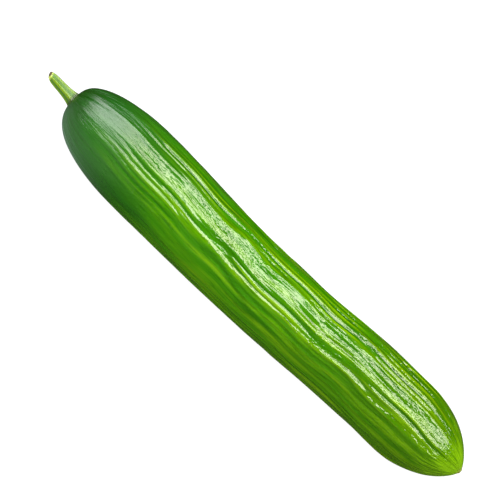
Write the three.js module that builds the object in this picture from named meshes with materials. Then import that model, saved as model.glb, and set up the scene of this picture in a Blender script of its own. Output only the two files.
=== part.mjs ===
// A fresh cucumber of the short, smooth greenhouse kind, lying on a surface as it does after picking.
//
// Millimetres, +Z up. It lies along X, with its stem towards -X and its blossom end towards +X, and it rests
// on Z = 0. The origin is under the middle of its bounding box. It grew as one body, so the fruit is one
// solid, with its ribs and its blossom scar as relief. The cut stem stands in a shallow seat in the shoulder.
//
// "along" is the distance from the shoulder, down the fruit, and is negative on the stem. "angle" goes round
// the fruit: 0 faces +Y and a quarter turn faces +Z.

import * as THREE from 'three';
import { mergeVertices } from 'three/addons/utils/BufferGeometryUtils.js';

// ---- Driving dimensions ----

const FRUIT_LENGTH = 201; // shoulder to blossom scar
const WAIST_RADIUS = 15.7; // the slimmest stretch, past the middle
const STEM_SWELL = { height: 1.75, at: 15, spread: 65 }; // the fruit is thickest near its stem
const BLOSSOM_SWELL = { height: 0.28, at: 154, spread: 23 }; // and a little thicker before its blossom end
const SHOULDER_DOME = { length: 44.5, fullness: 2.5, bluntness: 0.37 };
const BLOSSOM_DOME = { length: 31.2, fullness: 2.4, bluntness: 0.74 };

// The centre line's sideways drift, at even steps from the stem's cut to the blossom scar.
const BEND_START = -15;
const BEND_STEP = 27;
const BEND_OFFSETS = [2.4, 0.5, -0.2, -1.25, -1.85, -1.1, 0.75, 0.95, 0.75];

const MAIN_RIBS = 9;
const RIBS_PER_MAIN = 2; // a finer rib lies between each two main ones
const MAIN_RIB_HEIGHT = 0.15; // above and below the mean surface
const FINE_RIB_HEIGHT = 0.17;
const RIB_FREE_SHOULDER = 14; // ribs start to rise here
const RIB_FULL_SHOULDER = 48; // and are full from here on
const RIB_FREE_TIP = 4; // they fade again towards the scar
const RIB_FULL_TIP = 26;
const RIB_TURN = -0.43; // radians from +Y to the first rib, at the shoulder
const RIB_TWIST = 0.42; // and how much further round it is at the scar
const RIB_WANDER = 0.02; // radians that a rib strays to each side of that path
const RIB_WANDER_LENGTH = 30;
const THREE_SIDED = 0.01; // three seed chambers make the section slightly three-sided

const SCAR_RADIUS = 1.1;
const SCAR_DIMPLE = 0.4;
const SEAT_RADIUS = 3.6; // the shallow seat that the stem stands in
const SEAT_DEPTH = 1;
const SEAT_RIM = 0.2; // the shoulder's dome starts this far along
const REST_PLACES = [40, 168]; // the fruit lies on two low spots, one near each end
const REST_DEPTH = 0.22; // and is flattened there by this much

const STEM_LENGTH = 12.8; // shoulder to the middle of the cut
const STEM_RADIUS = 1.85;
const STEM_FLARE = 1.3; // extra radius at its foot
const STEM_FLARE_LENGTH = 3.5;
const STEM_PINCH = 0.8; // radius lost where the cut has dried
const STEM_PINCH_LENGTH = 1.2;
const STEM_RIDGES = 5;
const STEM_RIDGE_HEIGHT = 0.2;
const STEM_CUT_SLANT = 0.9; // how far the cut leans, each side of its middle
const GAP = 0.3; // left all round the stem's foot

const SEGMENTS_PER_RIB = 6;
const FRUIT_RINGS = 40;
const SEGMENTS_PER_RIDGE = 6;
const STEM_RINGS = 8;

// ---- Shape of the fruit ----

const bump = (along, { height, at, spread }) => height * Math.exp(-(((along - at) / spread) ** 2));

// Rises from 0 at the end of the fruit to 1 where the barrel starts.
function dome(distance, { length, fullness, bluntness }) {
  const left = 1 - Math.min(distance / length, 1);
  return (1 - left ** fullness) ** bluntness;
}

function fruitRadius(along) {
  const barrel = WAIST_RADIUS + bump(along, STEM_SWELL) + bump(along, BLOSSOM_SWELL);
  return barrel * dome(along, SHOULDER_DOME) * dome(FRUIT_LENGTH - along, BLOSSOM_DOME);
}

// Ribs are waves round the fruit: a slow one for the main ribs and one twice as fast for the finer.
function ribRelief(along, angle) {
  const risen = THREE.MathUtils.smoothstep(along, RIB_FREE_SHOULDER, RIB_FULL_SHOULDER);
  const kept = THREE.MathUtils.smoothstep(FRUIT_LENGTH - along, RIB_FREE_TIP, RIB_FULL_TIP);
  const main = MAIN_RIB_HEIGHT * Math.cos(MAIN_RIBS * angle);
  const fine = FINE_RIB_HEIGHT * Math.cos(MAIN_RIBS * RIBS_PER_MAIN * angle);
  return risen * kept * (main + fine);
}

// The angle that the first rib has reached, after an even twist and a slow wander.
function ribPath(along) {
  const wander = RIB_WANDER * Math.sin((2 * Math.PI * along) / RIB_WANDER_LENGTH);
  return RIB_TURN + (RIB_TWIST * along) / FRUIT_LENGTH + wander;
}

const bend = new THREE.SplineCurve(
  BEND_OFFSETS.map((offset, i) => new THREE.Vector2(BEND_START + i * BEND_STEP, offset)),
);

// The fruit thins from the first low spot to the second, so its centre line sinks slightly on the way.
const REST_HEIGHTS = REST_PLACES.map((along) => fruitRadius(along) - REST_DEPTH);
const SINK = (REST_HEIGHTS[0] - REST_HEIGHTS[1]) / (REST_PLACES[1] - REST_PLACES[0]);

function centreLine(along) {
  const travel = (along - BEND_START) / (BEND_STEP * (BEND_OFFSETS.length - 1));
  const sideways = bend.getPoint(THREE.MathUtils.clamp(travel, 0, 1)).y;
  const height = REST_HEIGHTS[0] - SINK * (along - REST_PLACES[0]);
  return new THREE.Vector3(along, sideways, height);
}

// ---- From a turned profile to a bent, ribbed solid ----

// Turns the profile of [radius, along] points, then moves each of its points by place(along, radius, angle).
function turnedSolid(profile, segments, place) {
  const points = profile.map(([radius, along]) => new THREE.Vector2(radius, along));
  const geometry = new THREE.LatheGeometry(points, segments);
  geometry.deleteAttribute('normal');
  geometry.deleteAttribute('uv');
  const position = geometry.getAttribute('position');
  for (let i = 0; i < position.count; i += 1) {
    const radius = Math.hypot(position.getX(i), position.getZ(i));
    const angle = Math.atan2(position.getX(i), position.getZ(i));
    const point = place(position.getY(i), radius, angle);
    position.setXYZ(i, point.x, point.y, point.z);
  }
  const merged = mergeVertices(geometry, 1e-4);
  merged.computeVertexNormals();
  return merged;
}

const aroundCentreLine = (along, radius, angle) =>
  centreLine(along).add(new THREE.Vector3(0, radius * Math.cos(angle), radius * Math.sin(angle)));

// Both ends curve fastest, so the rings stand closest there.
function ringPlaces(start, end, count) {
  const turns = Array.from({ length: count + 1 }, (_, i) => (i * Math.PI) / count);
  return turns.map((turn) => THREE.MathUtils.lerp(start, end, (1 - Math.cos(turn)) / 2));
}

// ---- The two pieces ----

function fruitGeometry() {
  const scarStart = FRUIT_LENGTH - SCAR_DIMPLE;
  const skin = ringPlaces(SEAT_RIM, scarStart, FRUIT_RINGS).map((along) => [fruitRadius(along), along]);
  const seat = [[0, SEAT_DEPTH], [SEAT_RADIUS, SEAT_DEPTH]];
  const scar = [[SCAR_RADIUS / 2, FRUIT_LENGTH], [0, scarStart]];
  const place = (along, radius, angle) => {
    const sides = radius * (1 + THREE_SIDED * Math.cos(3 * angle));
    const ribs = radius > SEAT_RADIUS ? ribRelief(along, angle) : 0;
    const turned = angle + ribPath(along);
    const smooth = aroundCentreLine(along, sides, turned);
    const ribbed = aroundCentreLine(along, sides + ribs, turned);
    ribbed.z = smooth.z < 0 ? 0 : Math.max(ribbed.z, 0);
    return ribbed;
  };
  return turnedSolid([...seat, ...skin, ...scar], MAIN_RIBS * RIBS_PER_MAIN * SEGMENTS_PER_RIB, place);
}

function stemGeometry() {
  const foot = SEAT_DEPTH - GAP;
  const side = ringPlaces(-STEM_LENGTH, foot, STEM_RINGS).map((along) => {
    const flare = STEM_FLARE * Math.exp((along - foot) / STEM_FLARE_LENGTH);
    const pinch = STEM_PINCH * Math.exp(-(along + STEM_LENGTH) / STEM_PINCH_LENGTH);
    return [STEM_RADIUS + flare - pinch, along];
  });
  const place = (along, radius, angle) => {
    const ridged = radius * (1 + (STEM_RIDGE_HEIGHT / STEM_RADIUS) * Math.cos(STEM_RIDGES * angle));
    const cut = THREE.MathUtils.clamp((foot - along) / (foot + STEM_LENGTH), 0, 1) ** 3;
    const point = aroundCentreLine(along, ridged, angle);
    point.x -= STEM_CUT_SLANT * cut * (radius / STEM_RADIUS) * Math.cos(angle);
    return point;
  };
  return turnedSolid([[0, -STEM_LENGTH], ...side, [0, foot]], STEM_RIDGES * SEGMENTS_PER_RIDGE, place);
}

// ---- Materials and assembly ----

const skinMaterial = new THREE.MeshStandardMaterial({ color: 0x3f8a12, roughness: 0.32, metalness: 0 });
const stemMaterial = new THREE.MeshStandardMaterial({ color: 0x7dbb22, roughness: 0.5, metalness: 0 });

function namedMesh(name, geometry, material) {
  const mesh = new THREE.Mesh(geometry, material);
  mesh.name = name;
  return mesh;
}

const cucumber = new THREE.Group();
cucumber.add(namedMesh('fruit', fruitGeometry(), skinMaterial));
cucumber.add(namedMesh('stem', stemGeometry(), stemMaterial));

// The origin goes under the middle of the whole part's box.
const middle = new THREE.Box3().setFromObject(cucumber).getCenter(new THREE.Vector3());
cucumber.position.set(-middle.x, -middle.y, 0);

export default cucumber;
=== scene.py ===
# %% [markdown]
# # A smooth greenhouse cucumber
# The cucumber lies on its side along X, its cut stem towards -X and its blossom end towards +X. Its
# solids are already made at their real size, and they come in here as a fixed frame: one solid for the
# fruit, which grew as one body, and one for the stem. This lesson makes the surfaces that are seen, and
# puts them where those solids are. The box of the fruit's solid tells where its shoulder lies.

# %% Load the frame
import math

import bpy
import numpy as np
from mathutils import Matrix, Vector


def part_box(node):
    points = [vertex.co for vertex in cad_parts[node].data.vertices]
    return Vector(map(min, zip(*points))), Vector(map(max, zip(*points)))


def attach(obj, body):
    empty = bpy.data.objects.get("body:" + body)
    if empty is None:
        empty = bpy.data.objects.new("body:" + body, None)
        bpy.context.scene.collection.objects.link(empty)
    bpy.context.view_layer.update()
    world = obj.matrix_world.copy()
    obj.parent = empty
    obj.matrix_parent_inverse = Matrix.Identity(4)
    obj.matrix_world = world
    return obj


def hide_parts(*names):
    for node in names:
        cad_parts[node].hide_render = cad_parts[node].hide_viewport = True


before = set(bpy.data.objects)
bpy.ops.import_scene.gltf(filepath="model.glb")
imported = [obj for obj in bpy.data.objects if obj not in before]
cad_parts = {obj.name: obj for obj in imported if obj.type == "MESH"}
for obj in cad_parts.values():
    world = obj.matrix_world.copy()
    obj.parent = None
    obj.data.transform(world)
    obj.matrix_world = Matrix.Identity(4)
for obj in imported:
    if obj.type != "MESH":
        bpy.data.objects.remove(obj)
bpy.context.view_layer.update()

# %% [markdown]
# Blender works in metres, but a cucumber is easier to think about in millimetres, so every size below is
# in millimetres until a mesh is written. "Along" is the distance from the shoulder, negative on the stem,
# and "angle" goes round the fruit: 0 faces +Y and a quarter turn faces up. The surface could be taken
# from the solid's own facets. A few driving dimensions say the same, and they give a surface as smooth as
# is wanted.

# %% Sizes of the fruit
MM = 0.001
FRUIT_LENGTH = 201.0  # shoulder to blossom scar
SHOULDER_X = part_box("fruit")[1].x / MM - FRUIT_LENGTH
SIDE_SHIFT = 0.42  # brings the middle of the whole part's box to Y = 0

WAIST_RADIUS = 15.7  # the slimmest stretch, past the middle
STEM_SWELL = {"height": 1.75, "at": 15.0, "spread": 65.0}  # the fruit is thickest near its stem
BLOSSOM_SWELL = {"height": 0.28, "at": 154.0, "spread": 23.0}
SHOULDER_DOME = {"length": 44.5, "fullness": 2.5, "bluntness": 0.37}
BLOSSOM_DOME = {"length": 31.2, "fullness": 2.4, "bluntness": 0.74}
THREE_SIDED = 0.01  # three seed chambers make the section slightly three-sided
REST_PLACES = np.array([40.0, 168.0])  # the fruit lies on two low spots, one near each end
REST_DEPTH = 0.22  # and is flattened there by this much

# The centre line's sideways drift, at even steps from the stem's cut to the blossom scar.
BEND_START = -15.0
BEND_STEP = 27.0
BEND_OFFSETS = np.array([2.4, 0.5, -0.2, -1.25, -1.85, -1.1, 0.75, 0.95, 0.75])
print("shoulder at x", round(SHOULDER_X, 2), "mm")

# %% [markdown]
# The barrel of a fruit is almost a cylinder, so its outline is best described by what makes it differ
# from one: two soft swells, and a dome at each end. A dome is a superellipse, whose two exponents say how
# full and how blunt it is. A blunt one gives the broad shoulder, a slimmer one gives the cone at the
# blossom end. The outline could also be drawn as a curve by hand, but its roundness would hang on where
# each handle was left.


# %% Outline
def swell(along, height, at, spread):
    """A bell curve: height at one place, falling away to both sides as exp(-((along - at) / spread)^2)."""
    return height * np.exp(-(((along - at) / spread) ** 2))


def dome(distance, length, fullness, bluntness):
    """0 at the end of the fruit, 1 from length on: (1 - (1 - distance / length)^fullness)^bluntness."""
    left = 1 - np.clip(distance / length, 0, 1)
    return (1 - left**fullness) ** bluntness


def fruit_radius(along):
    """The waist's radius plus two swells, closed by a dome at each end."""
    barrel = WAIST_RADIUS + swell(along, **STEM_SWELL) + swell(along, **BLOSSOM_SWELL)
    return barrel * dome(along, **SHOULDER_DOME) * dome(FRUIT_LENGTH - along, **BLOSSOM_DOME)


print("thickest", round(float(2 * fruit_radius(np.arange(FRUIT_LENGTH)).max()), 2), "mm")

# %% [markdown]
# A cucumber hangs while it grows, and still bends a little to one side and back. Its middle follows a
# smooth curve through a few sideways drifts. Lying down, it touches the surface near both ends, so the
# height of its middle there is its radius, less the flattening, and it changes evenly from one low spot
# to the other.


# %% Centre line
def curve_through(values, travel):
    """A Catmull-Rom curve through evenly spaced values: each stretch is a cubic whose slope at a value is
    half the step between its two neighbours. travel goes from 0 at the first value to 1 at the last."""
    last = len(values) - 1
    place = np.clip(travel, 0, 1) * last
    before = np.minimum(place.astype(int), last - 1)
    t = place - before
    p0, p1, p2, p3 = (values[np.clip(before + k, 0, last)] for k in (-1, 0, 1, 2))
    leave, arrive = (p2 - p0) / 2, (p3 - p1) / 2
    cubic = 2 * p1 - 2 * p2 + leave + arrive
    square = 3 * p2 - 3 * p1 - 2 * leave - arrive
    return cubic * t**3 + square * t**2 + leave * t + p1


REST_HEIGHTS = fruit_radius(REST_PLACES) - REST_DEPTH
SINK = (REST_HEIGHTS[0] - REST_HEIGHTS[1]) / (REST_PLACES[1] - REST_PLACES[0])


def centre_line(along):
    """Sideways place and height of the fruit's middle: a curve through the drifts, and an even slope."""
    sideways = curve_through(BEND_OFFSETS, (along - BEND_START) / (BEND_STEP * (len(BEND_OFFSETS) - 1)))
    return SIDE_SHIFT + sideways, REST_HEIGHTS[0] - SINK * (along - REST_PLACES[0])


print("middle at the low spots", REST_HEIGHTS.round(2), "mm up")

# %% [markdown]
# Skin isn't even. Ribs stray, swell and fade, and between them the skin puckers. A sum of many small
# waves with random phases gives that unevenness, and unlike a noise texture it closes exactly round the
# fruit if each wave has a whole number of crests round it. The random numbers are seeded, so every run
# gives the same fruit.


# %% Waves
def smooth_step(value, low, high):
    """0 below low, 1 above high and 3t^2 - 2t^3 between."""
    t = np.clip((value - low) / (high - low), 0, 1)
    return t * t * (3 - 2 * t)


def waves(along, angle, seed, count, crests, lengths):
    """The sum of count cosines of (crests * angle + turn / length * along + phase), scaled so that it mostly
    stays between -1 and 1. crests and lengths are the ranges that each wave's numbers are drawn from."""
    draw = np.random.default_rng(seed)
    total = np.zeros(np.broadcast(along, angle).shape)
    for _ in range(count):
        round_it = draw.integers(crests[0], crests[1] + 1)
        along_it = draw.choice([-1, 1]) * 2 * math.pi / draw.uniform(*lengths)
        total += np.cos(round_it * angle + along_it * along + draw.uniform(0, 2 * math.pi))
    return total / math.sqrt(count)


# %% [markdown]
# The ribs are the shape that is seen from a step away: nine main ones, because the fruit has three seed
# chambers and grows in threes, and a finer one between each two. They could be modelled one by one, but
# they run into each other without an edge, as cosine waves round the fruit do. On the real thing no rib
# is straight, so the angle that the cosine reads drifts slowly along the fruit, and the finer ribs are
# stronger in some places than in others. The pale stripes of the skin follow the finer ribs, so their
# wave is worked out here too.

# %% Ribs
MAIN_RIBS = 9
RIBS_PER_MAIN = 2
MAIN_RIB_HEIGHT = 0.15  # above and below the mean surface
FINE_RIB_HEIGHT = 0.22
RIBS_RISE = (8, 42)  # ribs start to rise at the first place, and are full from the second
RIBS_FADE = (2, 24)  # the same, measured back from the blossom scar
RIB_TURN = -0.43  # radians from +Y to the first rib, at the shoulder
RIB_TWIST = 0.42  # and how much further round it is at the scar
RIB_WANDER = 0.02  # radians that a rib strays to each side of that path
RIB_WANDER_LENGTH = 30.0
RIB_STRAY = np.array([-0.03, 0.01, 0.065, 0.11, 0.14, 0.19, 0.22])  # a further turn, at even steps
RIB_DRIFT = 0.026  # radians by which each rib strays by itself
DRIFT_WAVES = {"seed": 3, "count": 14, "crests": (1, 7), "lengths": (14, 50)}
RIB_UNEVENNESS = 0.35
UNEVEN_WAVES = {"seed": 5, "count": 24, "crests": (2, 13), "lengths": (16, 60)}
STRIPE_LEAD = -1.3  # radians of the finer ribs' wave, from a crest to its stripe


def rib_path(along):
    """The angle at which a rib runs: an even twist from end to end, and a slow wander to both sides."""
    wander = RIB_WANDER * np.sin(2 * math.pi * along / RIB_WANDER_LENGTH)
    return RIB_TURN + RIB_TWIST * along / FRUIT_LENGTH + wander


def ribs(along, angle):
    """Returns (height, stripes): the sum of a main and a finer cosine wave in millimetres, which rises from
    the shoulder and fades towards the scar, and the stripes' cosine from -1 to 1."""
    drift = curve_through(RIB_STRAY, along / FRUIT_LENGTH)
    drift = drift + RIB_DRIFT * waves(along, angle, **DRIFT_WAVES)
    uneven = 1 + RIB_UNEVENNESS * waves(along, angle, **UNEVEN_WAVES)
    main_ribs = np.cos(MAIN_RIBS * (angle + drift))
    fine_ribs = np.cos(MAIN_RIBS * RIBS_PER_MAIN * (angle + drift))
    stripes = np.cos(MAIN_RIBS * RIBS_PER_MAIN * (angle + drift) - STRIPE_LEAD)
    shown = smooth_step(along, *RIBS_RISE) * smooth_step(FRUIT_LENGTH - along, *RIBS_FADE)
    return shown * (MAIN_RIB_HEIGHT * main_ribs + FINE_RIB_HEIGHT * uneven * fine_ribs), stripes


print(MAIN_RIBS * RIBS_PER_MAIN, "ribs, twisted by", round(math.degrees(RIB_TWIST)), "degrees")

# %% [markdown]
# From closer by, the skin of the barrel is never smooth. Long creases follow the ribs, narrow grooves run
# between some of them, small puckers lie in patches and break up what the wax mirrors, and round the stem
# the skin is drawn into gathers. They could be left to a bump map. But gloss shows every bend of a
# surface, and the outline shows the larger ones, so they are real relief, each a sum of waves of its own
# length.

# %% Fine relief
CREASE_HEIGHT = 0.1
CREASE_SHARES = (0.3, 0.7, 0.8)  # on the shoulder, what the barrel adds, and what the later half adds
CREASE_WAVES = {"seed": 7, "count": 40, "crests": (24, 52), "lengths": (50, 180)}
LATER_HALF = (90, 150)
GROOVE_DEPTH = 0.13
GROOVE_WIDTH = 0.24  # of its wave's height, to each side of where the wave is 0
GROOVE_WAVES = {"seed": 19, "count": 30, "crests": (11, 30), "lengths": (60, 200)}
GROOVE_PATCHES = {"seed": 23, "count": 14, "crests": (2, 12), "lengths": (20, 60)}
GROOVE_PATCH_EDGE = (-0.9, 0.5)
PUCKER_HEIGHT = 0.018
PUCKER_WAVES = {"seed": 11, "count": 70, "crests": (22, 58), "lengths": (2.2, 8)}
PUCKER_PATCHES = {"seed": 13, "count": 14, "crests": (2, 14), "lengths": (12, 50)}
PUCKER_PATCH_EDGE = (-0.5, 0.9)
GATHER_HEIGHT = 0.3
GATHER_REACH = 10.0  # gathers die away over this distance from the stem
GATHER_WAVES = {"seed": 29, "count": 18, "crests": (7, 22), "lengths": (20, 60)}
FINE_RELIEF_FADE = (6, 30)  # measured back from the blossom scar


def fine_relief(along, angle):
    """Returns (height, creases, grooves): the fine relief in millimetres, the creases' wave from about -1 to
    1, and the grooves as a bell curve of their wave, which is 1 in the middle of each."""
    risen = smooth_step(along, *RIBS_RISE)
    on_shoulder, on_barrel, on_later_half = CREASE_SHARES
    creased = on_shoulder + on_barrel * risen + on_later_half * smooth_step(along, *LATER_HALF)
    creases = waves(along, angle, **CREASE_WAVES)
    puckers = waves(along, angle, **PUCKER_WAVES)
    patches = smooth_step(waves(along, angle, **PUCKER_PATCHES), *PUCKER_PATCH_EDGE)
    height = CREASE_HEIGHT * creases * creased + PUCKER_HEIGHT * puckers * patches * risen
    grooves = np.exp(-((waves(along, angle, **GROOVE_WAVES) / GROOVE_WIDTH) ** 2))
    grooved = smooth_step(waves(along, angle, **GROOVE_PATCHES), *GROOVE_PATCH_EDGE)
    height = height - GROOVE_DEPTH * grooves * grooved * risen
    height = height + GATHER_HEIGHT * waves(along, angle, **GATHER_WAVES) * np.exp(-along / GATHER_REACH)
    return height * smooth_step(FRUIT_LENGTH - along, *FINE_RELIEF_FADE), creases, grooves


print("creases", CREASE_HEIGHT, "mm, grooves", GROOVE_DEPTH, "mm, puckers", PUCKER_HEIGHT, "mm")

# %% [markdown]
# A cucumber isn't the same all round. One side of this one is calm: its relief is lower, its stripes are
# fainter, and so are the painted shade and highlight of its creases. On another side, which faces up and
# back, that painted shade and highlight are drawn stronger. A side is the cosine of the angle to its
# middle, cut off at 0 and raised to a power that makes it narrower.

# %% Sides of the fruit
CALM_SIDE = math.pi
CALM_SHARE = 0.7
CALM_POWER = 4
CALM_SHADE_LINES_POWER = 0.7  # below 1, so that lines fade less than the relief does
# The side where the painted shade and highlight of the creases are drawn stronger, facing up and back.
SHADE_LINES_SIDE = math.radians(55)
SHADE_LINES_SHARE = 1.2
SHADE_LINES_POWER = 6


def facing(along, angle, side, power):
    """1 where the skin faces the side, falling to 0 a quarter turn from it: cos(angle to the side)^power."""
    return np.clip(np.cos(angle + rib_path(along) - side), 0, 1) ** power


def relief(along, angle):
    """Returns (height, stripes, creases, grooves): ribs and fine relief together in millimetres, and the
    three patterns that the finish reads, each as strong as its side of the fruit makes it."""
    calm = 1 - CALM_SHARE * facing(along, angle, CALM_SIDE, CALM_POWER)
    # Painted shade and highlight of the creases are drawn stronger on this side.
    bold = 1 + SHADE_LINES_SHARE * facing(along, angle, SHADE_LINES_SIDE, SHADE_LINES_POWER)
    rib_height, stripes = ribs(along, angle)
    fine_height, creases, grooves = fine_relief(along, angle)
    lines = calm**CALM_SHADE_LINES_POWER * bold
    return calm * (rib_height + fine_height), calm * stripes, lines * creases, grooves


print("relief on the calm side", round(1 - CALM_SHARE, 2), "and lines on the bold side", 1 + SHADE_LINES_SHARE)

# %% [markdown]
# A turned surface is a grid: rings along the fruit, and points round each ring. A Screw modifier turns a
# profile too, but its rings stay round. numpy works out the whole grid at once, and foreach_set hands it
# to the mesh in one go, which is far quicker than adding vertices one by one. The rings crowd together at
# both ends, where the outline turns fastest.

# %% Rings and faces of a closed grid
DENSITY_SAMPLES = 5000


def crowded_places(start, end, count, crowding, reach):
    """Places from start to end. Their density is 1 plus crowding at the ends, dying away over reach."""
    tried = np.linspace(start, end, DENSITY_SAMPLES)
    density = 1 + crowding * (np.exp(-(tried - start) / reach) + np.exp(-(end - tried) / reach))
    share = np.cumsum(density) / density.sum()
    return np.interp(np.linspace(share[0], 1, count), share, tried)


def closed_faces(rings, around):
    """Returns (corners, sizes): the vertex at each corner, face after face, and each face's corner count.
    Quads join neighbouring rings. A fan joins each end ring to a point of its own, after all the grid's."""
    here = np.arange(around)
    following = (here + 1) % around
    ring_starts = np.arange(rings - 1)[:, None] * around
    left, right = ring_starts + here, ring_starts + following
    quads = np.stack([left, right, right + around, left + around], -1)
    first, last = rings * around, rings * around + 1
    low_fan = np.stack([np.full(around, first), following, here], -1)
    high_fan = np.stack([np.full(around, last), here + first - around, following + first - around], -1)
    sizes = np.concatenate([np.full(quads.size // 4, 4), np.full(2 * around, 3)])
    return np.concatenate([quads.ravel(), low_fan.ravel(), high_fan.ravel()]), sizes


print("ring places are read off", DENSITY_SAMPLES, "samples of their density")

# %% [markdown]
# A mesh is a list of points, and for each face a list of its corners. Attributes lie on the points, and a
# finish reads them by name. The piece's object stays at the origin, unturned and unscaled, with its place
# in its mesh, so the patterns on it never slide.


# %% From a grid to a piece
def add_attribute(mesh, name, values):
    """Writes a grid of numbers or vectors to the mesh's points. A fan's point gets the mean of its ring."""
    width = values.shape[2:]
    ends = [values[0].mean(0, keepdims=True), values[-1].mean(0, keepdims=True)]
    flat = np.concatenate([values.reshape(-1, *width), *ends])
    layer = mesh.attributes.new(name, "FLOAT_VECTOR" if width else "FLOAT", "POINT")
    layer.data.foreach_set("vector" if width else "value", flat.astype(np.float32).ravel())


def wrapped_piece(name, grid, attributes):
    """A piece whose closed mesh wraps a grid of points (ring, place in the ring, xyz) in millimetres. Each
    attribute is a grid of numbers or vectors of the same shape."""
    corners, sizes = closed_faces(*grid.shape[:2])
    vertices = np.concatenate([grid.reshape(-1, 3), [grid[0].mean(0)], [grid[-1].mean(0)]]) * MM
    mesh = bpy.data.meshes.new(name)
    mesh.vertices.add(len(vertices))
    mesh.vertices.foreach_set("co", vertices.ravel())
    mesh.loops.add(len(corners))
    mesh.loops.foreach_set("vertex_index", corners)
    mesh.polygons.add(len(sizes))
    mesh.polygons.foreach_set("loop_start", np.concatenate([[0], np.cumsum(sizes)[:-1]]))
    mesh.polygons.foreach_set("use_smooth", np.ones(len(sizes), bool))
    mesh.update(calc_edges=True)
    for key, values in attributes.items():
        add_attribute(mesh, key, values)
    piece = bpy.data.objects.new(name, mesh)
    bpy.context.scene.collection.objects.link(piece)
    mesh.validate()
    print(name, "-", len(vertices), "vertices,", int(sizes.sum() - 2 * len(sizes)), "triangles")
    return piece


def around_centre_line(along, radius, angle):
    """Points at radius and angle round the centre line, as xyz in the last axis."""
    sideways, height = centre_line(along)
    x = np.broadcast_to(SHOULDER_X + along, radius.shape)
    return np.stack([x, sideways + radius * np.cos(angle), height + radius * np.sin(angle)], -1)


def straightened(along, radius, angle):
    """The same points on a straight fruit, where along is x: the place that a finish reads."""
    return np.stack(np.broadcast_arrays(along, radius * np.cos(angle), radius * np.sin(angle)), -1)


# %% [markdown]
# ## The fruit
# The profile starts in the middle of the shallow seat where the stem stands, climbs over its rim on to
# the shoulder, follows the outline, and ends in the blossom scar: a tiny dried ring round a dimple. The
# seat and the scar could be pieces of their own, but on the real fruit the skin runs on over both.

# %% Profile of the fruit
FRUIT_RINGS = 230
FRUIT_AROUND = 400
FRUIT_CROWDING = {"crowding": 4, "reach": 4}
SEAT_DEPTH = 1.0
SEAT_RIM = 0.2  # the shoulder's dome starts this far along
SEAT_SHARES = np.linspace(0.2, 0.97, 7)  # the seat's rings, as shares of its rim's radius
SEAT_FLOOR = 0.6  # the seat is flat out to this share, then curves up to the rim
SCAR_START = 0.4  # the skin ends and the scar starts this far before the tip
SCAR_SHARES = np.array([0.85, 0.68, 0.55, 0.42, 0.28, 0.12])  # its rings, as shares of the skin's last
SCAR_SUNK = np.array([0.2, 0.04, 0.0, 0.1, 0.32, 0.4])  # and how far before the tip each one lies


def fruit_profile():
    """Rings as (along, radius): the seat, then the outline, then the scar."""
    skin = crowded_places(SEAT_RIM, FRUIT_LENGTH - SCAR_START, FRUIT_RINGS, **FRUIT_CROWDING)
    rim, tip = fruit_radius(skin[0]), fruit_radius(skin[-1])
    seat = SEAT_DEPTH + (SEAT_RIM - SEAT_DEPTH) * smooth_step(SEAT_SHARES, SEAT_FLOOR, 1.0)
    along = np.concatenate([seat, skin, FRUIT_LENGTH - SCAR_SUNK])
    radius = np.concatenate([rim * SEAT_SHARES, fruit_radius(skin), tip * SCAR_SHARES])
    return along[:, None], radius[:, None]


print("fruit:", fruit_profile()[0].size, "rings of", FRUIT_AROUND, "points")

# %% [markdown]
# Each point of the profile is carried round, with the relief on top. At the low spots the skin is pressed
# flat, so that the fruit lies on the surface instead of touching it at a point. The mesh also carries
# what the finish needs to know about each point: its place on a straightened fruit, and the patterns of
# stripes, creases and grooves. That way the colours lie exactly on the relief.

# %% Build the fruit
RELIEF_RADII = (3, 9)  # there is no relief inside the first radius, and all of it outside the second


def build_fruit():
    """A point lies round the centre line at radius, slightly three-sided, plus relief, and at angle plus the
    ribs' path. What would reach below the surface lies on it instead."""
    along, radius = fruit_profile()
    angle = np.linspace(0, 2 * math.pi, FRUIT_AROUND, endpoint=False)[None, :]
    height, stripes, creases, grooves = relief(along, angle)
    turned = angle + rib_path(along)
    sides = radius * (1 + THREE_SIDED * np.cos(3 * angle))
    shown = np.clip((radius - RELIEF_RADII[0]) / (RELIEF_RADII[1] - RELIEF_RADII[0]), 0, 1)
    smooth = around_centre_line(along, sides, turned)
    grid = around_centre_line(along, sides + height * shown, turned)
    grid[..., 2] = np.where(smooth[..., 2] < 0, 0, np.maximum(grid[..., 2], 0))
    values = {"stripes": stripes, "creases": creases, "grooves": grooves}
    values["skin_place"] = straightened(along, WAIST_RADIUS, angle)
    return wrapped_piece("cucumber_fruit", grid, values)


fruit = build_fruit()

# %% [markdown]
# ## The stem
# The stalk was cut a finger's breadth above the fruit. It is five-sided with rounded ridges, flares where
# it joins the shoulder, and its cut end has dried: the rim has pinched in and the pith has sunk. It is
# turned like the fruit, with the ridges as a wave round it, and the cut leans because a knife never meets
# it square.

# %% Profile of the stem
STEM_RINGS = 70
STEM_AROUND = 80
STEM_CROWDING = {"crowding": 3, "reach": 1}
STEM_LENGTH = 12.8  # shoulder to the middle of the cut
STEM_RADIUS = 1.85
STEM_FLARE = 1.3  # extra radius at its foot
STEM_FLARE_LENGTH = 3.5
STEM_PINCH = 0.8  # radius lost where the cut has dried
STEM_PINCH_LENGTH = 1.2
GAP = 0.3  # left under the stem's foot
STEM_FOOT = SEAT_DEPTH - GAP
CUT_SHARES = np.array([0.15, 0.4, 0.62, 0.8, 0.92])  # the cut's rings, as shares of the stalk's first
CUT_SUNK = np.array([0.35, 0.3, 0.12, -0.05, -0.08])  # the pith has sunk, and its rim stands proud
FOOT_SHARES = np.array([0.9, 0.5])


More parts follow.
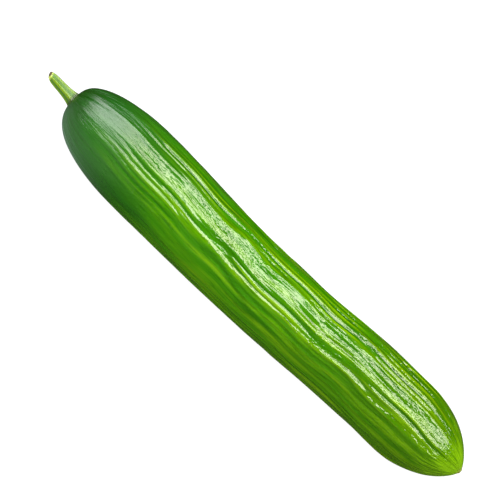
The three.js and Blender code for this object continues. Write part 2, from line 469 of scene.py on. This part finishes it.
def stem_profile():
    """Rings as (along, radius): the cut, then the side with its flare and its pinch, then the foot."""
    side = crowded_places(-STEM_LENGTH, STEM_FOOT, STEM_RINGS, **STEM_CROWDING)
    flare = STEM_FLARE * np.exp((side - STEM_FOOT) / STEM_FLARE_LENGTH)
    pinch = STEM_PINCH * np.exp(-(side + STEM_LENGTH) / STEM_PINCH_LENGTH)
    outline = STEM_RADIUS + flare - pinch
    along = np.concatenate([CUT_SUNK - STEM_LENGTH, side, np.full(len(FOOT_SHARES), STEM_FOOT)])
    radius = np.concatenate([CUT_SHARES * outline[0], outline, FOOT_SHARES * outline[-1]])
    return along[:, None], radius[:, None]


print("stem:", stem_profile()[0].size, "rings of", STEM_AROUND, "points")

# %% [markdown]
# The ridges are one wave round the stalk, and the fibres on them are many small ones. Every point near the
# cut is then shifted along the stalk, forwards on one side and back on the other, so the cut's face leans
# and nothing has to slice the mesh.

# %% Build the stem
STEM_RIDGES = 5
STEM_RIDGE_HEIGHT = 0.2
FIBRE_HEIGHT = 0.03
FIBRE_WAVES = {"seed": 17, "count": 24, "crests": (8, 22), "lengths": (9, 40)}
STEM_CUT_SLANT = 0.9  # how far the cut leans, each side of its middle


def build_stem():
    """A point lies round the centre line at angle and at radius * (1 + ridges and fibres). The nearer it is
    to the cut, the more it also moves along by the slant times the cosine of its angle."""
    along, radius = stem_profile()
    angle = np.linspace(0, 2 * math.pi, STEM_AROUND, endpoint=False)[None, :]
    ridges = np.cos(STEM_RIDGES * angle)
    fibres = waves(along, angle, **FIBRE_WAVES)
    ridged = radius * (1 + (STEM_RIDGE_HEIGHT * ridges + FIBRE_HEIGHT * fibres) / STEM_RADIUS)
    grid = around_centre_line(along, ridged, angle)
    cut = np.clip((STEM_FOOT - along) / (STEM_FOOT + STEM_LENGTH), 0, 1) ** 3
    grid[..., 0] -= STEM_CUT_SLANT * cut * (radius / STEM_RADIUS) * np.cos(angle)
    values = {"ridges": np.broadcast_to(ridges, ridged.shape)}
    values["skin_place"] = straightened(along, radius, angle)
    return wrapped_piece("cucumber_stem", grid, values)


stem = build_stem()

# %% [markdown]
# ## Writing a finish
# A finish is a graph of nodes. Written out node by node it is hard to read, so sums on values are written
# here as Python sums: a Wire stands for one output, and adding or multiplying two of them adds a Math
# node. Every other node comes from one method, which sets the node up first and then fills or links its
# sockets.


# %% Wires
class Wire:
    """One output of a node. Sums on it add Math nodes, also with a number on the left, as in 1 - mask."""

    def __init__(self, finish, socket):
        self.finish, self.socket = finish, socket

    def maths(self, operation, first, second):
        return self.finish.node("Math", {"operation": operation}, {0: first, 1: second})

    def __add__(self, other):
        return self.maths("ADD", self, other)

    def __sub__(self, other):
        return self.maths("SUBTRACT", self, other)

    def __rsub__(self, other):
        return self.maths("SUBTRACT", other, self)

    def __mul__(self, other):
        return self.maths("MULTIPLY", self, other)

    __radd__, __rmul__ = __add__, __mul__


# %% [markdown]
# The graph belongs to a Finish, which is a material while it is being made. Besides its one method for
# any node it has short names for the few steps that skin, stalk and paper share: noise, a soft step, a
# mix of two colours and a bump.


# %% Finishes
class Finish:
    """A material being made, with one method for any node and short names for the ones used often."""

    def __init__(self, name):
        self.material = bpy.data.materials.new(name)
        self.material.use_nodes = True
        self.tree = self.material.node_tree
        self.tree.nodes.clear()

    def node(self, kind, settings=None, sockets=None, output=0):
        """Adds a shader node: its settings first, then the value or the link of each of its sockets."""
        made = self.tree.nodes.new("ShaderNode" + kind)
        for name, value in (settings or {}).items():
            setattr(made, name, value)
        for name, value in (sockets or {}).items():
            if isinstance(value, Wire):
                self.tree.links.new(value.socket, made.inputs[name])
            else:
                made.inputs[name].default_value = value
        return Wire(self, made.outputs[output]) if made.outputs else None

    def attribute(self, name, output="Vector"):
        return self.node("Attribute", {"attribute_name": name}, output=output)

    def part(self, place, axis):
        """One number of a place: 0 for X, 1 for Y, 2 for Z."""
        return self.node("SeparateXYZ", {}, {0: place}, output=axis)

    def noise(self, place, stretch, detail=3.0, roughness=0.5, distortion=0.0):
        """Noise round 0.5. The place is multiplied by stretch first, and small numbers make long patches."""
        stretched = self.node("VectorMath", {"operation": "MULTIPLY"}, {0: place, 1: stretch})
        sockets = {"Scale": 1.0, "Detail": detail, "Roughness": roughness, "Distortion": distortion}
        return self.node("TexNoise", {}, {"Vector": stretched, **sockets})

    def stray(self, value, noise, reach):
        """The value, moved up and down by the noise. Over its whole range the noise moves it by reach."""
        return value + reach * (noise - 0.5)

    def step(self, value, low, high):
        """0 below low, 1 above high, smooth between. The other way round if low is the larger."""
        sockets = {"Value": value, "From Min": low, "From Max": high}
        return self.node("MapRange", {"interpolation_type": "SMOOTHSTEP"}, sockets)

    def mix(self, share, first, second):
        """first where share is 0, second where it is 1."""
        settings = {"data_type": "RGBA", "clamp_factor": True}
        return self.node("Mix", settings, {0: share, 6: first, 7: second}, output=2)

    def bump(self, height, distance, under=None):
        """A normal tilted by a height from 0 to 1 that stands for distance, over another normal if given."""
        sockets = {"Height": height, "Distance": distance, "Strength": 1.0}
        return self.node("Bump", {}, {**sockets, **({"Normal": under} if under else {})})

    def done(self, shader):
        """Joins the last shader to the material's output."""
        self.node("OutputMaterial", {}, {"Surface": shader})
        print("finish:", self.material.name, "from", len(self.tree.nodes), "nodes")
        return self.material


def colour(red, green, blue):
    """A colour given as a screen shows it, from 0 to 255, as the linear colour that shaders
    use. The sum is the sRGB curve, straight near black and a power above."""
    shown = np.array([red, green, blue]) / 255
    linear = np.where(shown <= 0.04045, shown / 12.92, ((shown + 0.055) / 1.055) ** 2.4)
    return (*linear.tolist(), 1.0)


# %% [markdown]
# ## Colour of the skin
# A cucumber's skin is dark, slightly blue green at the shoulder and turns lighter and yellower towards
# the blossom end, where growth was last. A painted image could show that, but it would have to be
# unrolled on to the fruit. These colours follow the skin by themselves: they are mixed over each other,
# with shares that read the straightened place and the patterns on the mesh. Noise moves every edge, so
# that none is a ring.

# %% Greens of the skin
SHOULDER_GREEN = colour(17, 62, 8)
BARREL_GREEN = colour(38, 90, 0)
TIP_GREEN = colour(45, 82, 0)
BARREL_GREEN_FROM = (5.0, 70.0)  # places along the fruit between which the colour sets in
TIP_GREEN_FROM = (90.0, 200.0)
GROWTH_STRAY = 90
MOTTLE_STRETCH = (0.02, 0.08, 0.08)
THREAD_STRETCH = (0.1, 1.1, 1.1)


def grown_green(finish, along, mottle):
    """From the shoulder's green over the barrel's to the tip's, with mottled edges."""
    growth = finish.stray(along, mottle, GROWTH_STRAY)
    base = finish.mix(finish.step(growth, *BARREL_GREEN_FROM), SHOULDER_GREEN, BARREL_GREEN)
    return finish.mix(finish.step(growth, *TIP_GREEN_FROM), base, TIP_GREEN)


print("barrel green from", BARREL_GREEN_FROM[0], "mm, tip green from", TIP_GREEN_FROM[0], "mm")

# %% [markdown]
# Over these greens lie the markings. Pale stripes run along the ribs. Fine lines lie between them: painted
# shade, dark in the creases, and a painted highlight, pale on what stands up beside them, with darker
# threads across both, and painted shade, darkest of all, in the narrow grooves. The stripes set in slowly
# past the shoulder, and all these markings fade at the blossom end.

# %% Stripes, lines and painted light of the skin
STRIPE_GREEN = colour(124, 152, 0)
STRIPE_SHARE = 0.3
STRIPE_STRENGTH = 0.8
STRIPE_BREAKS = 3.5  # how strongly the streaks break up the stripes
STRIPE_EDGE = (-0.6, 1.6)
STRIPES_FROM = (15.0, 100.0)
STRIPES_STRAY = 110
STREAK_STRETCH = (0.03, 0.45, 0.45)
# Painted shade in the valleys of the creases; the same green also colours the dark threads.
CREASE_SHADE_AND_THREAD_GREEN = colour(16, 60, 0)
CREASE_SHADE_SHARE = 0.5
CREASE_SHADE_STRAY = 2.0
CREASE_SHADE_EDGE = (0.1, -1.3)
THREAD_SHARE = 0.4
THREAD_EDGE = (0.46, 0.34)
# Painted highlight: pale lines on the crests beside the creases.
CREST_HIGHLIGHT_SHARE = 0.28
CREST_HIGHLIGHT_STRAY = 1.2
CREST_HIGHLIGHT_EDGE = (0.5, 1.5)
CREST_HIGHLIGHT_FROM = (20.0, 80.0)
# Painted shade: this green darkens the narrow grooves, and the gathers round the stem.
PAINTED_SHADE_GREEN = colour(10, 44, 0)
GROOVE_SHADE_SHARE = 0.35
GROOVE_SHADE_FROM = (30.0, 90.0)
MARKINGS_UNTIL = (FRUIT_LENGTH + 6, FRUIT_LENGTH - 28)


def add_stripes(finish, base, along, mottle, streaks, marked):
    """Pale stripes along the ribs, broken up by streaks."""
    stripes = finish.stray(STRIPE_STRENGTH * finish.attribute("stripes", "Fac"), streaks, STRIPE_BREAKS)
    begun = finish.step(finish.stray(along, mottle, STRIPES_STRAY), *STRIPES_FROM)
    return finish.mix(STRIPE_SHARE * marked * begun * finish.step(stripes, *STRIPE_EDGE), base, STRIPE_GREEN)


def add_lines_and_painted_light(finish, base, along, threads, marked):
    """Painted shade in the creases, dark threads, a painted highlight on the crests beside the creases, and
    painted shade in the grooves.
    """
    creases = finish.attribute("creases", "Fac")
    # Painted shade where the crease wave is low, in the creases' valleys.
    crease_shade = finish.step(finish.stray(creases, threads, CREASE_SHADE_STRAY), *CREASE_SHADE_EDGE)
    base = finish.mix(CREASE_SHADE_SHARE * marked * crease_shade, base, CREASE_SHADE_AND_THREAD_GREEN)
    base = finish.mix(THREAD_SHARE * marked * finish.step(threads, *THREAD_EDGE), base, CREASE_SHADE_AND_THREAD_GREEN)
    # Painted highlight where the crease wave is high, on the crests beside the creases.
    crest_highlight = finish.step(finish.stray(creases, threads, CREST_HIGHLIGHT_STRAY), *CREST_HIGHLIGHT_EDGE)
    crest_highlight = CREST_HIGHLIGHT_SHARE * marked * crest_highlight * finish.step(along, *CREST_HIGHLIGHT_FROM)
    base = finish.mix(crest_highlight, base, STRIPE_GREEN)
    # Painted shade in the narrow grooves.
    grooved = finish.attribute("grooves", "Fac") * finish.step(along, *GROOVE_SHADE_FROM)
    return finish.mix(GROOVE_SHADE_SHARE * grooved, base, PAINTED_SHADE_GREEN)


print("stripes from", STRIPES_FROM[0], "mm, all markings until", MARKINGS_UNTIL[1], "mm")

# %% [markdown]
# Both ends have colours of their own. Round the stem the gathered skin is darker, and it is painted almost
# black green, which also stands for painted shade round the stem's seat. The blossom end is a streaky
# yellow green, and its scar and the seat of the stem are dry and brownish.

# %% Ends of the skin
# Painted shade round the stem's seat, over the darker colour of the gathered skin.
GATHER_SHADE_SHARE = 0.8
GATHER_SHADE_UNTIL = (15.0, 2.0)
GATHER_SHADE_STRAY = 36
BLOSSOM_GREEN = colour(98, 138, 4)
BLOSSOM_FROM = (FRUIT_LENGTH - 14, FRUIT_LENGTH + 5)
BLOSSOM_STREAKS = 5
BLOSSOM_STRAY = 40
SCAR_BROWN = colour(120, 130, 50)
SCAR_FROM = (FRUIT_LENGTH - 1.6, FRUIT_LENGTH - 0.4)
SEAT_BROWN = colour(40, 52, 12)
SEAT_UNTIL = (0.7, 0.2)


def add_ends(finish, base, along, streaks, threads):
    """The gathers round the stem, darkened partly for their own colour and partly as painted shade, the
    yellow blossom end, the scar and the seat.
    """
    # Painted shade round the stem, fading out along the shoulder.
    gather_shade = finish.step(finish.stray(along, threads, GATHER_SHADE_STRAY), *GATHER_SHADE_UNTIL)
    base = finish.mix(GATHER_SHADE_SHARE * gather_shade, base, PAINTED_SHADE_GREEN)
    ripened = finish.stray(along + BLOSSOM_STREAKS * streaks, threads, BLOSSOM_STRAY)
    base = finish.mix(finish.step(ripened, *BLOSSOM_FROM), base, BLOSSOM_GREEN)
    base = finish.mix(finish.step(along, *SCAR_FROM), base, SCAR_BROWN)
    return finish.mix(finish.step(along, *SEAT_UNTIL), base, SEAT_BROWN)


print("blossom end from", BLOSSOM_FROM[0], "mm, scar from", SCAR_FROM[0], "mm")

# %% [markdown]
# ## Gloss of the skin
# The wax is thick and dull on the shoulder, where it shows as fine streaks, and thin and shiny on the
# barrel. There it lies over puckers of about a millimetre. They are too small for the mesh, so a bump
# makes them: faint everywhere, strong in patches, and stronger again towards the blossom end. Their
# height is kept low, because a strong bump scatters the reflections until they look like haze instead of
# wax.

# %% Gloss of the skin
PUCKER_STRETCH = (0.7, 1.2, 1.2)
PATCH_STRETCH = (0.05, 0.15, 0.15)
PATCH_EDGE = (0.44, 0.62)
PUCKER_SHARES = (0.03, 0.07, 0.32)  # everywhere, what the barrel adds, and what patches add
LATE_PUCKERS = 0.5
LATE_PUCKERS_FROM = (110.0, 175.0)
PUCKER_BUMP = 0.6 * MM
WAX_SHARE = 0.6
WAX_BUMP = 0.4 * MM
SHINE_FROM = (22.0, 48.0)
SHOULDER_ROUGHNESS = 0.29
BARREL_ROUGHNESS = 0.16
ROUGHNESS_STRAY = 0.08


def skin_normal(finish, place, along, barrel, threads):
    """Puckers on the barrel, and over them the wax streaks, which end where the barrel starts."""
    everywhere, on_barrel, in_patches = PUCKER_SHARES
    patches = finish.step(finish.noise(place, PATCH_STRETCH, detail=2.0), *PATCH_EDGE)
    puckered = barrel * patches + LATE_PUCKERS * finish.step(along, *LATE_PUCKERS_FROM)
    puckers = finish.noise(place, PUCKER_STRETCH, detail=0.5, distortion=0.5)
    normal = finish.bump(puckers * (everywhere + on_barrel * barrel + in_patches * puckered), PUCKER_BUMP)
    return finish.bump(threads * (WAX_SHARE - WAX_SHARE * barrel), WAX_BUMP, normal)


def skin_roughness(finish, barrel, threads):
    smoother = SHOULDER_ROUGHNESS - BARREL_ROUGHNESS
    return finish.stray(SHOULDER_ROUGHNESS - smoother * barrel, threads, ROUGHNESS_STRAY)


print("roughness from", SHOULDER_ROUGHNESS, "on the shoulder to", BARREL_ROUGHNESS, "on the barrel")

# %% [markdown]
# Colour, roughness and normal meet in one Principled shader. Its gloss is tinted slightly yellow, because
# a pure white gloss looks chalky on such a bright green.

# %% Finish of the skin
SKIN_REFRACTION = 1.55
SKIN_GLOSS_TINT = (1.0, 1.0, 0.75, 1.0)


def skin_finish():
    finish = Finish("cucumber_skin")
    place = finish.attribute("skin_place")
    along = finish.part(place, 0)
    mottle = finish.noise(place, MOTTLE_STRETCH, detail=2.0)
    streaks = finish.noise(place, STREAK_STRETCH, roughness=0.55)
    threads = finish.noise(place, THREAD_STRETCH, roughness=0.65)
    marked = finish.step(along, *MARKINGS_UNTIL)
    barrel = finish.step(along, *SHINE_FROM)
    base = grown_green(finish, along, mottle)
    base = add_stripes(finish, base, along, mottle, streaks, marked)
    base = add_lines_and_painted_light(finish, base, along, threads, marked)
    return finish.done(finish.node("BsdfPrincipled", {}, {
        "Base Color": add_ends(finish, base, along, streaks, threads),
        "Roughness": skin_roughness(finish, barrel, threads),
        "IOR": SKIN_REFRACTION,
        "Specular Tint": SKIN_GLOSS_TINT,
        "Normal": skin_normal(finish, place, along, barrel, threads),
    }))


fruit.data.materials.append(skin_finish())

# %% [markdown]
# ## Stem finish
# The stalk is brighter and yellower than the skin, glossy on its ridges, with painted shade darkening the
# furrows between them. The cut face is pale where it is fresh and brown where it has dried, and the foot
# is darkened where it meets the shoulder, for a dark crease there and for painted shade. It is mixed in
# the same way as the skin, with the ridges' own wave for the furrows.

# %% Finish of the stem
STALK_GREEN = colour(80, 104, 3)
# Painted shade in the furrows between the stalk's ridges.
FURROW_SHADE_GREEN = colour(46, 84, 0)
FURROW_SHADE_EDGE = (0.5, -0.8)
FURROW_SHADE_STRAY = 1.2
FIBRE_STRETCH = (0.12, 1.4, 1.4)
FIBRE_BUMP = 0.3 * MM
# Painted shade where the stalk's foot meets the shoulder, over a dark crease there.
FOOT_SHADE_GREEN = colour(26, 42, 6)
FOOT_SHADE_FROM = (-1.6, 0.4)
CUT_PALE = colour(150, 160, 70)
CUT_UNTIL = (1.4 - STEM_LENGTH, 0.2 - STEM_LENGTH)
CUT_BROWN = colour(66, 58, 30)
DRY_STRETCH = (0.6, 0.6, 0.6)
DRY_EDGE = (0.68, 0.8)
DRIER = 0.38  # how much drier the cut itself is than the stalk
DRIER_UNTIL = (0.9 - STEM_LENGTH, -STEM_LENGTH)
STALK_ROUGHNESS = 0.24
STALK_REFRACTION = 1.42
STALK_GLOSS_TINT = (1.0, 0.98, 0.7, 1.0)


def stem_finish():
    finish = Finish("cucumber_stalk")
    place = finish.attribute("skin_place")
    along = finish.part(place, 0)
    fibres = finish.noise(place, FIBRE_STRETCH, roughness=0.6)
    # Painted shade where the ridge wave is low, in the furrows.
    furrow_shade_wave = finish.stray(finish.attribute("ridges", "Fac"), fibres, FURROW_SHADE_STRAY)
    base = finish.mix(finish.step(furrow_shade_wave, *FURROW_SHADE_EDGE), STALK_GREEN, FURROW_SHADE_GREEN)
    # Painted shade at the foot of the stalk.
    base = finish.mix(finish.step(along, *FOOT_SHADE_FROM), base, FOOT_SHADE_GREEN)
    base = finish.mix(finish.step(along, *CUT_UNTIL), base, CUT_PALE)
    dried = finish.noise(place, DRY_STRETCH, detail=2.0) + DRIER * finish.step(along, *DRIER_UNTIL)
    return finish.done(finish.node("BsdfPrincipled", {}, {
        "Base Color": finish.mix(finish.step(dried, *DRY_EDGE), base, CUT_BROWN),
        "Roughness": STALK_ROUGHNESS,
        "IOR": STALK_REFRACTION,
        "Specular Tint": STALK_GLOSS_TINT,
        "Normal": finish.bump(fibres, FIBRE_BUMP),
    }))


stem.data.materials.append(stem_finish())

# %% [markdown]
# ## Join the pieces to the frame
# Each surface stands for one solid. It rides on the only body, and the solid that it stands for is
# hidden.

# %% Ride and replace
for piece, node, slot in ((fruit, "fruit", "skin"), (stem, "stem", "stem")):
    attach(piece, "root")
    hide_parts(node)
    print(piece.name, "replaces", node, "and wears", slot)

# %% [markdown]
# ## Floor and backdrop
# The floor is plain white paper, and so is the dome round it, which only the camera sees. Skin as glossy
# as this mirrors whatever lies round it, and paper that bright would turn its flanks grey. In a studio,
# dark cards would be laid just out of view. Here the floor itself looks dark to a ray that comes off a
# glossy surface, all but a patch in front of the stem end, which gives the shoulder its pale flank.

# %% Finishes of the floor and the backdrop
WHITE = (1.0, 1.0, 1.0, 1.0)
BACKDROP_GLOW = 0.9
FLOOR_GREY = colour(80, 80, 80)
FLOOR_REFRACTION = 1.1
FLOOR_GLOW = 0.98
DARK_CARD = {"Color": (1.1, 1.1, 0.6, 1.0), "Strength": 0.04}
LIT_PATCH = {"Color": (0.8, 1.15, 0.95, 1.0), "Strength": 0.7}
LIT_X = (-0.055, -0.1)  # metres, from the patch's edge to where it is full
LIT_Y = (0.02, -0.01)


def backdrop_finish():
    finish = Finish("backdrop_paper")
    return finish.done(finish.node("Emission", {}, {"Color": WHITE, "Strength": BACKDROP_GLOW}))


def floor_finish():
    """Glowing paper, which a glossy surface sees as a dark card with one lit patch."""
    finish = Finish("floor_paper")
    paper = finish.node("BsdfPrincipled", {}, {
        "Base Color": FLOOR_GREY,
        "Roughness": 1.0,
        "IOR": FLOOR_REFRACTION,
        "Emission Color": WHITE,
        "Emission Strength": FLOOR_GLOW,
    })
    place = finish.node("TexCoord", {}, {}, output="Object")
    in_patch = finish.step(finish.part(place, 0), *LIT_X) * finish.step(finish.part(place, 1), *LIT_Y)
    card, lit = finish.node("Emission", {}, DARK_CARD), finish.node("Emission", {}, LIT_PATCH)
    mirrored = finish.node("MixShader", {}, {0: in_patch, 1: card, 2: lit})
    in_gloss = finish.node("LightPath", {}, {}, output="Is Glossy Ray")
    return finish.done(finish.node("MixShader", {}, {0: in_gloss, 1: paper, 2: mirrored}))

# %% [markdown]
# The disc lies a hair below the surface that the fruit rests on, because two faces in one plane would
# flicker through each other. A dome of the same radius closes the view behind it.

# %% Floor and backdrop
STAGE_RADIUS = 4.0
FLOOR_SIDES = 96
FLOOR_DROP = 0.00005


def build_stage():
    """A disc just under the fruit, and a dome round both that is hidden from every ray but the camera's."""
    disc = {"vertices": FLOOR_SIDES, "radius": STAGE_RADIUS, "fill_type": "NGON"}
    bpy.ops.mesh.primitive_circle_add(**disc, location=(0, 0, -FLOOR_DROP))
    floor = bpy.context.object
    floor.name = "floor"
    floor.data.materials.append(floor_finish())
    bpy.ops.mesh.primitive_uv_sphere_add(segments=64, ring_count=32, radius=STAGE_RADIUS)
    dome_shell = bpy.context.object
    dome_shell.name = "backdrop"
    dome_shell.data.materials.append(backdrop_finish())
    for ray in ("diffuse", "glossy", "transmission", "volume_scatter", "shadow"):
        setattr(dome_shell, "visible_" + ray, False)


build_stage()

# %% [markdown]
# ## Lights
# Two pairs of long softboxes hang over the fruit: one over the barrel, and a dimmer, bluer one over the
# stem end. The gloss on the skin is their reflection. The ribs cut it into bands, and the dark bar
# between the two boxes of a pair keeps the bands apart, where a single wide lamp would wash over the
# ribs. Two more lamps stand low, in front and beside the stem. They aren't mirrored, so they only lift
# the colour of the flanks.

# %% Lights
SOFTBOX_HEIGHT = 0.6
FRUIT_SOFTBOXES = {"reach": (-0.2, 1.05), "strips": ((-0.24, -0.07), (0.055, 0.19)), "radiance": 13.6}
STEM_SOFTBOXES = {"reach": (-1.05, -0.2), "strips": ((-0.34, -0.05), (0.005, 0.34)), "radiance": 8.5}
FRUIT_SOFTBOX_TINT = (1.0, 1.0, 1.0)
STEM_SOFTBOX_TINT = (0.97, 1.02, 1.29)
FRONT_FILL = {"place": (0.0, -0.6, 0.12), "target": (0.0, 0.0, 0.015), "size": (1.2, 0.4), "radiance": 3.8}
SIDE_FILL = {"place": (-0.6, -0.3, 0.08), "target": (-0.08, 0.0, 0.015), "size": (0.5, 0.3), "radiance": 4.5}


def add_softbox(name, place, target, size, radiance):
    """An area light whose surface has the given radiance, aimed from place at target."""
    lamp = bpy.data.lights.new(name, "AREA")
    lamp.shape = "RECTANGLE"
    lamp.size, lamp.size_y = size
    lamp.energy = radiance * math.pi * size[0] * size[1]
    softbox = bpy.data.objects.new(name, lamp)
    softbox.location = place
    softbox.rotation_euler = (Vector(target) - Vector(place)).to_track_quat("-Z", "Y").to_euler()
    softbox.visible_camera = False
    bpy.context.scene.collection.objects.link(softbox)
    print(name, "-", round(lamp.energy, 2), "watts")
    return softbox


def hang_softboxes(name, tint, reach, strips, radiance):
    """Long softboxes side by side over the fruit, from reach to reach along X, one to each strip of Y."""
    for number, (front, back) in enumerate(strips):
        x, y = sum(reach) / 2, (front + back) / 2
        size = (reach[1] - reach[0], back - front)
        softbox = add_softbox(f"{name}_{number}", (x, y, SOFTBOX_HEIGHT), (x, y, 0.0), size, radiance)
        softbox.data.color = tint


hang_softboxes("overhead_fruit", FRUIT_SOFTBOX_TINT, **FRUIT_SOFTBOXES)
hang_softboxes("overhead_stem", STEM_SOFTBOX_TINT, **STEM_SOFTBOXES)
add_softbox("fill", **FRONT_FILL).visible_glossy = False
add_softbox("side_fill", **SIDE_FILL).visible_glossy = False

# %% [markdown]
# The rest of the room gives a faint, even light that isn't mirrored either. The Standard view shows
# colours as they are worked out, because Blender's usual view would dull such a bright green and grey the
# white paper.

# %% Room
ROOM_LIGHT = 0.15

room = bpy.data.worlds.new("room")
room.use_nodes = True
room.node_tree.nodes["Background"].inputs["Color"].default_value = WHITE
room.node_tree.nodes["Background"].inputs["Strength"].default_value = ROOM_LIGHT
room.cycles_visibility.glossy = False
bpy.context.scene.world = room
bpy.context.scene.view_settings.view_transform = "Standard"
print("room light", ROOM_LIGHT, "in the", bpy.context.scene.view_settings.view_transform, "view")

# %% [markdown]
# ## Camera
# A long lens from about a metre keeps the fruit's outline free of perspective. The camera looks down on
# it from the front and is rolled, so that the fruit runs from the upper left to the lower right of its
# view.

# %% Camera
CAMERA_LENS = 200.0
CAMERA_NEAR = 0.01
CAMERA_DISTANCE = 1.0425
CAMERA_ELEVATION = math.radians(50)
CAMERA_ROLL = math.radians(43.37)
CAMERA_TARGET = Vector((-7.11, 7.91, 17.0)) * MM


def add_camera():
    """Its axes come first: right along X, up and back as the elevation says, and the first two rolled."""
    right = Vector((1, 0, 0))
    up = Vector((0, math.sin(CAMERA_ELEVATION), math.cos(CAMERA_ELEVATION)))
    back = right.cross(up)
    rolled_right = math.cos(CAMERA_ROLL) * right + math.sin(CAMERA_ROLL) * up
    rolled_up = math.cos(CAMERA_ROLL) * up - math.sin(CAMERA_ROLL) * right
    turn = Matrix((rolled_right, rolled_up, back)).transposed()
    place = CAMERA_TARGET + CAMERA_DISTANCE * back
    camera = bpy.data.objects.new("camera", bpy.data.cameras.new("camera"))
    camera.data.lens = CAMERA_LENS
    camera.data.clip_start = CAMERA_NEAR
    camera.matrix_world = Matrix.Translation(place) @ turn.to_4x4()
    bpy.context.scene.collection.objects.link(camera)
    bpy.context.scene.camera = camera
    print("camera at", [round(x, 3) for x in place])


add_camera()
